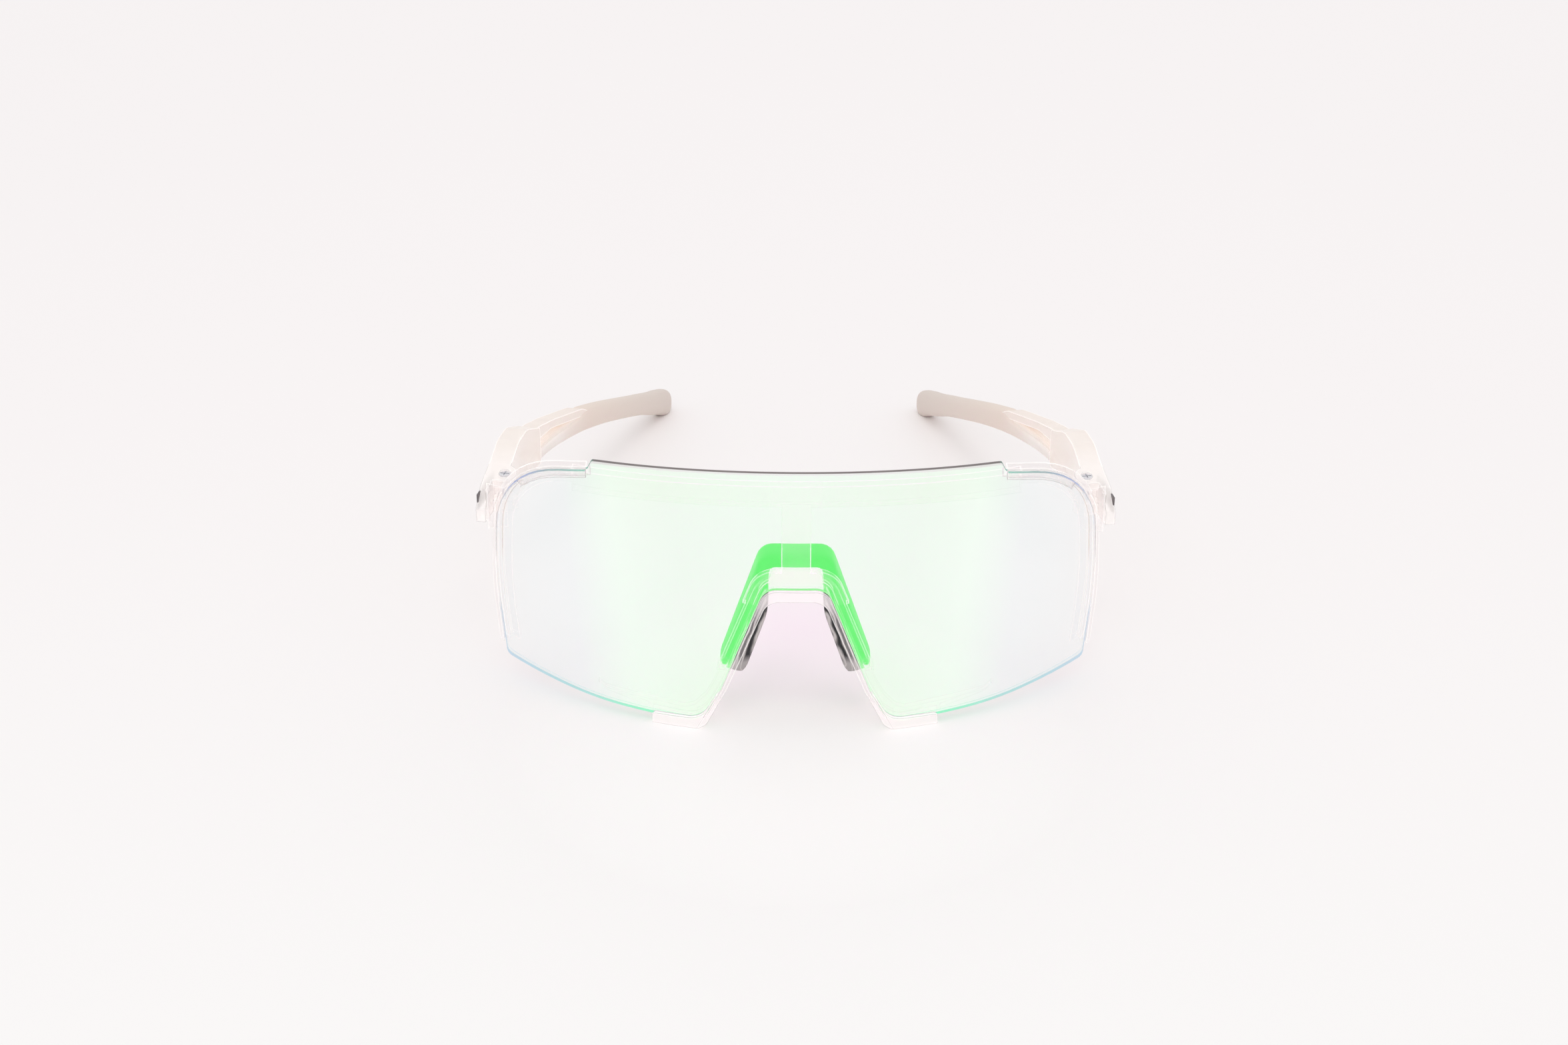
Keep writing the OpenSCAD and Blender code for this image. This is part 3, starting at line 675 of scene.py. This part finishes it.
@dataclass(frozen=True)
class TempleNylon(ClearNylon):
    """Nylon of the temples: clear at the hinge, hazy and beige along the sleeve."""

    clarity: float = 0.8
    painted_inner_glow: float = 0.08
    hinge_y: float = -44.0
    block_y: float = -31.0
    fork_y: float = 22.0
    hinge_span: Pair = (-32.0, -38.0)
    block_rise: Pair = (29.0, 33.0)
    fork_span: Pair = (-20.0, 5.0)
    clear_milk: float = 0.35
    hinge_milk: float = 0.08
    block_milk: float = 0.32
    fork_milk: float = 0.85
    outline_y: float = -34.0
    outlines: Pair = (0.2, 0.7)
    stops: Stops = (
        (0.0, "FFFDFB"), (0.16, "FAF6F3"), (0.24, "F3EDE8"), (0.45, "F0E9E3"), (1.0, "F1E9E3"),
    )

    def milk(self, g: Graph) -> Socket:
        """Milk that grows behind the hinge and upwards."""
        _, y, z = g.axes()
        block = g.times(g.span(y, self.hinge_y, self.block_y), g.span(z, *self.block_rise))
        block = g.times(block, self.block_milk)
        hinge = g.times(g.span(y, *self.hinge_span), self.hinge_milk)
        front = g.math("ADD", g.math("ADD", block, hinge), self.clear_milk)
        return g.most(front, g.times(g.span(y, *self.fork_span), self.fork_milk))

    def outline(self, g: Graph) -> Socket:
        """Stronger painted dark lines at the hinge."""
        return g.between(g.below(g.axes()[1], self.outline_y), *self.outlines)

    def haze(self, g: Graph) -> Socket:
        """White at the hinge, beige at the fork."""
        return g.ramp(g.span(g.axes()[1], self.hinge_y, self.fork_y), self.stops)


@dataclass(frozen=True)
class SoftRubber:
    """Matt soft rubber, with a fine moulded grain."""

    name: str
    stops: Stops
    roughness: float
    specular: float = 0.5
    grain: float = 900.0
    mottle: float = 0.06
    along: Pair | None = None

    def build(self) -> bpy.types.Material:
        """Builds the rubber, shaded by grain or along its length."""
        g = Graph(self.name)
        grain = g.noise(self.grain, 2.0)
        if self.along is None:
            return g.finish(self._matt(g, grain, grain))
        fac = g.span(g.axes()[1], *self.along)
        fac = g.math("ADD", fac, g.times(grain, self.mottle), clamp=True)
        return g.finish(self._matt(g, fac, grain))

    def _matt(self, g: Graph, fac: Socket, grain: Socket) -> Socket:
        """The matt body, coloured by a socket, with the grain as relief."""
        inputs = {
            "Base Color": g.ramp(fac, self.stops),
            "Roughness": self.roughness,
            "Specular IOR Level": self.specular,
            "Normal": g.bump(grain, 0.12, 0.0001),
        }
        return g.add("BsdfPrincipled", inputs).outputs[0]


@dataclass(frozen=True)
class RibbedRubber(SoftRubber):
    """Black rubber whose nose side has polished beads along the legs."""

    bead: str = "D8D2D2"
    bead_gloss: float = 0.2
    pitch: float = 0.95
    wander: float = 1.3
    foot_span: Pair = (15.0, 13.0)
    foot_polish: float = 0.7
    polish: float = 0.85

    def build(self) -> bpy.types.Material:
        """Builds the rubber with its polished beads."""
        g = Graph(self.name)
        grain = g.noise(self.grain, 2.0)
        x, y, z = g.axes()
        # Beads run along the legs, on the part that shows inside the notch
        across = g.math("ADD", g.math("ABSOLUTE", x), g.times(z, SIZES.notch_slope))
        edge = SIZES.notch_top_w + SIZES.notch_slope * SIZES.notch_top_z
        inside = g.times(g.below(across, edge - 0.2), g.below(z, SIZES.notch_top_z - 1.5))
        wander = g.times(g.noise(190.0, 1.0), self.wander * MM)
        turns = g.math("ADD", g.math("ADD", across, y), wander)
        # A sine brought to 0 to 1, and narrowed by its square
        wave = g.math("SINE", g.times(turns, math.tau / (self.pitch * MM)))
        wave = g.math("POWER", g.between(wave, 0.5, 1.0), 2.0)
        foot = g.times(g.span(z, *self.foot_span), self.foot_polish)
        share = g.times(g.most(wave, foot), inside, self.polish)
        shine = g.add("BsdfGlossy", {"Color": linear(self.bead), "Roughness": self.bead_gloss})
        return g.finish(g.mix(share, self._matt(g, grain, grain), shine.outputs[0]))


@dataclass(frozen=True)
class TurnedMetal:
    """Small turned metal piece with fine rings from the lathe."""

    name: str
    colour: str
    worn: str
    roughness: float = 0.36
    ring_scale: float = 900.0
    wobble: float = 0.6

    def build(self) -> bpy.types.Material:
        """Builds the metal."""
        g = Graph(self.name)
        rings = g.add(
            "TexWave",
            {"Vector": g.coords(), "Scale": self.ring_scale, "Distortion": self.wobble},
            wave_type="RINGS",
            rings_direction="Z",
        ).outputs["Fac"]
        inputs = {
            "Base Color": g.ramp(rings, ((0.0, self.worn), (1.0, self.colour))),
            "Metallic": 1.0,
            "Roughness": self.roughness,
            "Normal": g.bump(rings, 0.08, 0.00005),
        }
        return g.finish(g.add("BsdfPrincipled", inputs).outputs[0])


@dataclass(frozen=True)
class StudioFloor:
    """Seamless pale table, painted a trace paler and warmer towards the back, where the lamps light
    it less.

    It carries two patches of painted light: light on the table before the lens, and the
    pink light that the mirror lets through, painted inside the notch.
    """

    name: str = "white_table_laminate"
    stops: Stops = ((0.0, "F7F6F5"), (0.5, "FAF6F6"), (1.0, "FEFAFA"))
    slope: float = 1.2
    start: float = 0.35
    mottle: float = 0.1
    painted_light: str = "FFFDFC"
    painted_light_mm: Point = (0.0, -88.0, 0.0)
    painted_light_r: float = 60.0
    painted_glow: str = "FFF2FA"
    painted_glow_mm: Point = (0.0, -38.0, 0.0)
    painted_glow_r: float = 34.0
    patch_fade: float = 0.7

    def build(self) -> bpy.types.Material:
        """Builds the floor material."""
        g = Graph(self.name)
        # The colour is painted paler and warmer towards the back, to make up for the lamps'
        # fall-off
        place = g.math("ADD", g.times(g.axes()[1], self.slope), self.start)
        place = g.math("ADD", place, g.times(g.noise(5.0, 2.0), self.mottle), clamp=True)
        colour = g.ramp(place, self.stops)
        # Painted light before the lens, then painted pink light inside the notch
        colour = self._patch(g, colour, self.painted_light, self.painted_light_mm, self.painted_light_r)
        colour = self._patch(g, colour, self.painted_glow, self.painted_glow_mm, self.painted_glow_r)
        body = g.add("BsdfPrincipled", {"Base Color": colour, "Roughness": 0.6})
        return g.finish(body.outputs[0])

    def _patch(self, g: Graph, colour: Socket, patch: str, centre: Point, radius: float) -> Socket:
        """Blends a soft round patch of painted light into the floor's colour.

        Args:
            g: Graph.
            colour: Colour of the floor around it.
            patch: Colour of the patch.
            centre: Its middle in millimetres.
            radius: Its radius in millimetres.

        Returns:
            The colour.
        """
        middle = tuple(v * MM for v in centre)
        gap = g.add("VectorMath", {0: g.coords(), 1: middle}, operation="DISTANCE").outputs["Value"]
        near = g.math("POWER", g.span(gap, radius, 0.0), self.patch_fade)
        return g.mix_colour(near, colour, linear(patch))


# ---- Curves and lofts ----


def clamp(value: float) -> float:
    """Keeps a value between 0 and 1."""
    return max(0.0, min(1.0, value))


def ease(t: float) -> float:
    """Smooth step from 0 to 1, level at both ends."""
    t = clamp(t)
    return t * t * (3 - 2 * t)


def blend(a: float, b: float, c: float, d: float, t: float) -> float:
    """Catmull-Rom value between b and c.

    Args:
        a: Value before b.
        b: Start value.
        c: End value.
        d: Value after c.
        t: Place between b and c, 0 to 1.

    Returns:
        The value at t.
    """
    square = 2 * a - 5 * b + 4 * c - d
    cube = 3 * b - a - 3 * c + d
    return 0.5 * (2 * b + (c - a) * t + square * t * t + cube * t**3)


def height(stations: Stations, y: float) -> float:
    """Height of a smooth curve through stations.

    Args:
        stations: Distances and heights in order.
        y: Distance to read at.

    Returns:
        The height.
    """
    last = len(stations) - 1
    i = 0
    while i < last - 1 and y >= stations[i + 1][0]:
        i += 1
    t = clamp((y - stations[i][0]) / (stations[i + 1][0] - stations[i][0]))
    pick = [stations[max(0, min(last, i + k))][1] for k in (-1, 0, 1, 2)]
    return blend(*pick, t)


def round_section(a: float, b: float, count: int, power: float) -> list[Pair]:
    """Points of a rounded box section.

    Args:
        a: Half width.
        b: Half height.
        count: Number of points.
        power: 1 for an ellipse, less for a squarer shape.

    Returns:
        The points, anticlockwise.
    """
    points = []
    for i in range(count):
        t = math.tau * (i + 0.5) / count
        c, s = math.cos(t), math.sin(t)
        p = a * math.copysign(abs(c) ** power, c)
        points.append((p, b * math.copysign(abs(s) ** power, s)))
    return points


def rounded(points: Sequence[Pair], radius: float, count: int, arc_steps: int = 24) -> list[Pair]:
    """Evenly spaced points along a three-point path with a rounded middle corner.

    Args:
        points: Start, corner and end.
        radius: Corner radius.
        count: Number of steps along the path.
        arc_steps: Number of steps round the corner.

    Returns:
        The points, from start to end.
    """
    a, b, c = (Vector(p) for p in points)
    p, q = (a - b).normalized(), (c - b).normalized()
    half = math.acos(max(-1.0, min(1.0, p.dot(q)))) / 2
    mid = b + (p + q).normalized() * radius / math.sin(half)
    start = b + p * radius / math.tan(half) - mid
    turn = (math.pi - 2 * half) * (-1 if p.x * q.y - p.y * q.x > 0 else 1)
    base = math.atan2(start.y, start.x)
    turns = [base + turn * i / arc_steps for i in range(arc_steps + 1)]
    path = [a, *(mid + Vector((math.cos(t), math.sin(t))) * radius for t in turns), c]
    lengths = [0.0]
    for u, v in zip(path, path[1:]):
        lengths.append(lengths[-1] + (v - u).length)
    out = []
    last = len(path) - 2
    for i in range(count + 1):
        d = lengths[-1] * i / count
        k = next((j for j in range(last + 1) if lengths[j + 1] >= d), last)
        t = clamp((d - lengths[k]) / (lengths[k + 1] - lengths[k]))
        point = path[k].lerp(path[k + 1], t)
        out.append((point.x, point.y))
    return out


def shade(mesh: bpy.types.Mesh, angle: float) -> None:
    """Smooth shading with sharp edges above an angle.

    Args:
        mesh: Mesh to shade.
        angle: Degrees.
    """
    mesh.polygons.foreach_set("use_smooth", [True] * len(mesh.polygons))
    mesh.set_sharp_from_angle(angle=math.radians(angle))


def make_piece(
    name: str, build: Callable[[bmesh.types.BMesh], None], smooth: float = 40.0
) -> bpy.types.Object:
    """Makes a mesh object in metres from a bmesh in millimetres.

    Args:
        name: Name of the piece.
        build: Fills the bmesh.
        smooth: Edges sharper than this many degrees stay sharp.

    Returns:
        The object, at the origin and untransformed.
    """
    bm = bmesh.new()
    build(bm)
    bmesh.ops.recalc_face_normals(bm, faces=bm.faces)
    bmesh.ops.scale(bm, vec=(MM, MM, MM), verts=bm.verts)
    mesh = bpy.data.meshes.new(name)
    bm.to_mesh(mesh)
    bm.free()
    shade(mesh, smooth)
    piece = bpy.data.objects.new(name, mesh)
    bpy.context.scene.collection.objects.link(piece)
    LOG.info("%s: %d faces", name, len(mesh.polygons))
    return piece


def dress(node: bpy.types.Object, material: bpy.types.Material, angle: float = 25.0) -> None:
    """Gives a CAD node its finish and smooth shading, with its mesh as it is.

    Args:
        node: The CAD node.
        material: Its material.
        angle: Edges sharper than this many degrees stay sharp.
    """
    node.data.materials.clear()
    node.data.materials.append(material)
    shade(node.data, angle)
    LOG.info("%s: %s", node.name, material.name)


def loft(bm: bmesh.types.BMesh, rings: Sequence[Ring]) -> None:
    """Skins closed rings of equal count and caps both ends.

    Args:
        bm: Target.
        rings: Rings of points.
    """
    rows = [[bm.verts.new(p) for p in ring] for ring in rings]
    count = len(rows[0])
    for low, high in zip(rows, rows[1:]):
        for i in range(count):
            j = (i + 1) % count
            bm.faces.new((low[i], low[j], high[j], high[i]))
    bm.faces.new(rows[0][::-1])
    bm.faces.new(rows[-1])


# ---- Sub-assemblies ----


@dataclass
class FrontUnit:
    """The lens and the clear front, shown as the CAD made them."""

    nodes: dict[str, bpy.types.Object]
    lens: MirrorLens = MirrorLens()
    nylon: ClearNylon = FrontNylon("nylon_clear_front")

    def build(self) -> None:
        """Gives the CAD nodes their finishes."""
        dress(self.nodes["lens"], self.lens.build())
        dress(self.nodes["frame"], self.nylon.build())


@dataclass
class NosePiece:
    """The rubber saddle behind the notch and its clear carrier."""

    nodes: dict[str, bpy.types.Object]
    rubber: SoftRubber = RibbedRubber(
        "rubber_black_nose", ((0.0, "2C2C2F"), (1.0, "1E1E20")), 0.35, specular=0.25
    )
    carrier: ClearNylon = CarrierNylon("nylon_clear_carrier")
    carrier_back: float = 84.86
    depth: float = 7.0
    leg_t: float = 5.6
    top_t: float = 3.0
    leg_start: float = 0.25
    leg_fade: float = 0.35
    corner_out: float = 0.9
    corner_r: float = 3.4
    fillet_t: float = 0.34
    fillet_fade: float = 2.8
    flare: float = 0.4
    rise: float = 5.1
    rib: float = 0.2
    rib_pitch: float = 1.75
    end_z: float = 12.2
    end_out: float = 1.7
    end_sizes: Point = (0.86, 0.96, 1.0)
    steps: int = 64
    points: int = 96

    def build(self) -> None:
        """Dresses the carrier and lofts the saddle."""
        dress(self.nodes["nose_carrier"], self.carrier.build())
        pad = make_piece("nose_saddle", self._fill)
        pad.data.materials.append(self.rubber.build())
        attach(pad, "front")
        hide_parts("nose_pad")

    def _corner(self) -> Pair:
        """Right corner of the saddle's outer line, before it is rounded."""
        return SIZES.notch_top_w + self.corner_out, SIZES.notch_top_z + self.rise

    def _line(self) -> list[Pair]:
        """Outer line of the saddle in front view, from the left end to the right end."""
        corner = self._corner()
        end = (SIZES.notch_side_x(self.end_z) + self.end_out, self.end_z)
        half = rounded([(0.0, corner[1]), corner, end], self.corner_r, self.steps // 2)
        return [(-x, z) for x, z in half[:0:-1]] + half

    def _fill(self, bm: bmesh.types.BMesh) -> None:
        """Lofts the saddle's rings, thicker inwards along the legs."""
        line, corner = self._line(), self._corner()
        last = len(line) - 1
        rings = []
        for i, (x, z) in enumerate(line):
            a, b = line[max(0, i - 1)], line[min(last, i + 1)]
            size = math.hypot(b[0] - a[0], b[1] - a[1])
            n = (-(b[1] - a[1]) / size, (b[0] - a[0]) / size)
            k = clamp((abs(2 * i / last - 1) - self.leg_start) / self.leg_fade)
            # A fillet fills the saddle's inner corners
            gap = math.hypot(abs(x) - corner[0], z - corner[1])
            fillet = self.fillet_t * ease((self.corner_r - gap) / self.fillet_fade)
            half = (self.top_t + fillet + (self.leg_t - self.top_t) * ease(k)) / 2
            shrink = self.end_sizes[min(2, i, last - i)]
            front = SIZES.axis_y - math.sqrt(self.carrier_back**2 - (x - n[0] * half) ** 2)
            ring = []
            for p, q in round_section(half, self.depth / 2, self.points, 0.5):
                wave = math.cos(math.tau * q / self.rib_pitch)
                rib = k * self.rib * wave if p < 0 else 0.0
                out = (p + rib) * shrink - half + k * self.flare * q / self.depth
                ring.append((x + n[0] * out, front + self.depth / 2 + q * shrink, z + n[1] * out))
            rings.append(ring)
        loft(bm, rings)


@dataclass
class TempleSet:
    """One temple with its soft sleeve, stripe and hinge hardware.

    The stations are distances behind the hinge and heights: of the sleeve's upper line,
    of its lower line, and of its upper line inside the fork.
    """

    nodes: dict[str, bpy.types.Object]
    side: Side
    nylon: bpy.types.Material
    sleeve: bpy.types.Material
    stripe: bpy.types.Material
    steel: bpy.types.Material
    brass: bpy.types.Material
    half_w: float = 2.4
    fork_end: float = 61.0
    fork_merge: float = 8.0
    tip: float = 5.0
    tip_share: float = 0.15
    tip_round: float = 0.94
    swell: float = 0.05
    steps: int = 150
    points: int = 36
    rail_r: float = 0.75
    rail_in: float = 1.15
    rail_drop: float = 0.35
    rail_past: float = 2.3
    rail_steps: int = 40
    top: Stations = field(
        default_factory=lambda: [
            (25, 36.7), (34, 34.6), (48, 30.6), (62, 26.5), (76, 22.1), (90, 17.3), (104, 12.5),
            (117, 8.4), (125, 6.4),
        ]
    )
    foot: Stations = field(
        default_factory=lambda: [
            (25, 28.1), (34, 26.8), (48, 23.8), (62, 20.3), (76, 16.3), (90, 11.7), (104, 6.8),
            (117, 1.6), (125, -1.9),
        ]
    )
    fork: Stations = field(
        default_factory=lambda: [(25, 30.8), (34, 29.9), (48, 27.5), (60, 25.7), (70, 23.8)]
    )

    def build(self) -> None:
        """Dresses the CAD nodes and lofts the sleeve and the rail beside it."""
        word = self.side.word
        dress(self.nodes[f"{word}_temple"], self.nylon)
        dress(self.nodes[f"{word}_stripe"], self.stripe)
        dress(self.nodes[f"{word}_hinge_screw"], self.steel)
        dress(self.nodes[f"{word}_hinge_insert"], self.brass)
        piece = make_piece(f"{word}_soft_sleeve", self._fill)
        piece.data.materials.append(self.sleeve)
        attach(piece, f"{word}_arm")
        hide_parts(f"{word}_sleeve")
        rail = make_piece(f"{word}_core_rail", self._fill_rail)
        rail.data.materials.append(self.nylon)
        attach(rail, f"{word}_arm")

    def _place(self, x: float, y: float, z: float) -> Point:
        """Moves a point from the hinge's frame to the part's frame."""
        a = math.radians(SIZES.temple_lean)
        px = SIZES.hinge_x + x * math.cos(a) - y * math.sin(a)
        py = SIZES.front_y + SIZES.hinge_y + x * math.sin(a) + y * math.cos(a)
        return (self.side.value * px, py, z)

    def _fill_rail(self, bm: bmesh.types.BMesh) -> None:
        """Lofts the clear ridge that shows along the sleeve's upper edge inside the fork."""
        rings = []
        length = self.fork_end + self.rail_past + 0.2 - SIZES.block_end
        for i in range(self.rail_steps + 1):
            y = SIZES.block_end + 0.2 + length * i / self.rail_steps
            # The ridge runs out to a thin end on both sides
            r = self.rail_r * min(1.0, 0.35 + i * 0.2, 0.15 + (self.rail_steps - i) * 0.08)
            x, z = SIZES.temple_mid_x(y) - self.rail_in, height(self.fork, y) - self.rail_drop
            rings.append([self._place(x + p, y, z + q) for p, q in round_section(r, r, 16, 1.0)])
        loft(bm, rings)

    def _fill(self, bm: bmesh.types.BMesh) -> None:
        """Lofts the sleeve's rings from the block to the tip."""
        rings = []
        start, last = SIZES.block_end + 0.05, SIZES.temple_len - self.tip
        straight = 1 - self.tip_share
        for i in range(self.steps + 1):
            t = i / self.steps
            if t < straight:
                y = start + (last - start) * t / straight
            else:
                # The rings close up towards the tip
                y = last + self.tip * math.sin(math.pi / 2 * (t - straight) / self.tip_share)
            e = ease((y - self.fork_end + self.fork_merge / 2) / self.fork_merge)
            fork = height(self.fork, min(y, self.fork_end + self.fork_merge))
            top = fork * (1 - e) + height(self.top, y) * e
            low = height(self.foot, y)
            past = max(0.0, (y - last) / self.tip)
            shrink = math.sqrt(max(0.0, 1 - self.tip_round * past**2))
            x, mid = SIZES.temple_mid_x(y), (top + low) / 2
            half = ((top - low) / 2 + self.swell) * shrink
            section = round_section(self.half_w * shrink, half, self.points, 0.75)
            rings.append([self._place(x + p, y, max(0.0, mid + q)) for p, q in section])
        loft(bm, rings)


# ---- Studio ----


@dataclass
class Studio:
    """Table, light and camera of the product picture."""

    camera_mm: Point = (-2.5, -562.386, 282.0)
    elevation: float = 26.0
    roll: float = 0.26
    lens_mm: float = 61.22
    sensor_mm: float = 36.0
    table: StudioFloor = StudioFloor()
    table_half: float = 4000.0
    tent: Stops = ((0.0, "E8E4E4"), (0.45, "FFFFFF"))
    tent_light: float = 0.9
    lamp_m: float = 0.5

    def build(self) -> None:
        """Makes the table, the light and the camera."""
        self._table()
        self._world()
        self._lamp("key_softbox", (-0.3, -1.1, 0.9), 0.9)
        self._lamp("top_softbox", (0.05, -0.45, 1.1), 1.4)
        self._camera()

    def _table(self) -> None:
        """A wide seamless table."""

        def fill(bm: bmesh.types.BMesh) -> None:
            bmesh.ops.create_grid(bm, x_segments=1, y_segments=1, size=self.table_half)

        floor = make_piece("table", fill)
        floor.data.materials.append(self.table.build())

    def _world(self) -> None:
        """White light all round, a little greyer near the horizon for the clear parts' edges."""
        world = bpy.data.worlds.new("white_tent")
        bpy.context.scene.world = world
        world.use_nodes = True
        sky = Nodes(world.node_tree, "OutputWorld")
        rise = sky.add("SeparateXYZ", {0: sky.add("TexCoord").outputs["Generated"]}).outputs[2]
        light = {"Color": sky.ramp(rise, self.tent), "Strength": self.tent_light}
        tent = sky.add("Background", light).outputs[0]
        # The camera sees plain white past the table
        seen = sky.add("Background", {"Color": linear("FFFFFF"), "Strength": 1.0}).outputs[0]
        sky.close(sky.mix(sky.add("LightPath").outputs["Is Camera Ray"], tent, seen))

    def _lamp(self, name: str, place_m: Point, watts: float) -> None:
        """Adds a square softbox that faces the object.

        Args:
            name: Name of the lamp.
            place_m: Its place.
            watts: Power.
        """
        data = bpy.data.lights.new(name, "AREA")
        data.shape = "SQUARE"
        data.size = self.lamp_m
        data.energy = watts
        lamp = bpy.data.objects.new(name, data)
        lamp.location = place_m
        lamp.rotation_euler = (-Vector(place_m)).to_track_quat("-Z", "Y").to_euler()
        bpy.context.scene.collection.objects.link(lamp)

    def _camera(self) -> None:
        """The camera of the photo: in front, 26 degrees above."""
        data = bpy.data.cameras.new("camera")
        data.lens = self.lens_mm
        data.sensor_width = self.sensor_mm
        data.dof.use_dof = False
        data.clip_start, data.clip_end = 0.01, 50.0
        camera = bpy.data.objects.new("camera", data)
        camera.location = Vector(self.camera_mm) * MM
        tilt = Euler((math.radians(90 - self.elevation), 0, 0)).to_quaternion()
        turn = Quaternion((0, 0, 1), math.radians(self.roll))
        camera.rotation_euler = (tilt @ turn).to_euler()
        bpy.context.scene.collection.objects.link(camera)
        bpy.context.scene.camera = camera


def main() -> None:
    """Builds the looks in order."""
    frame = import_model()
    nodes = frame["nodes"]
    bpy.context.scene.view_settings.view_transform = "Standard"
    FrontUnit(nodes).build()
    NosePiece(nodes).build()
    nylon = TempleNylon("nylon_clear_temple").build()
    # Paler towards the block: partly painted light that lifts the shade in the fork; greyer towards
    # the tip
    beige = ((0.0, "FAF4EF"), (0.12, "F3E8DF"), (0.3, "ECDDD2"), (1.0, "DDD1C9"))
    sleeve = SoftRubber("rubber_beige_sleeve", beige, 0.55, along=(4.0, 80.0)).build()
    stripe = SoftRubber("grey_inlay", ((0.0, "6E686A"), (1.0, "605A5C")), 0.45).build()
    steel = TurnedMetal("stainless_steel_screw", "F2F2F4", "DEDEE4").build()
    brass = TurnedMetal("nickel_plated_brass_insert", "F0EEEA", "DCD8D2").build()
    for side in Side:
        TempleSet(nodes, side, nylon, sleeve, stripe, steel, brass).build()
    Studio().build()


if __name__ == "__main__":
    main()
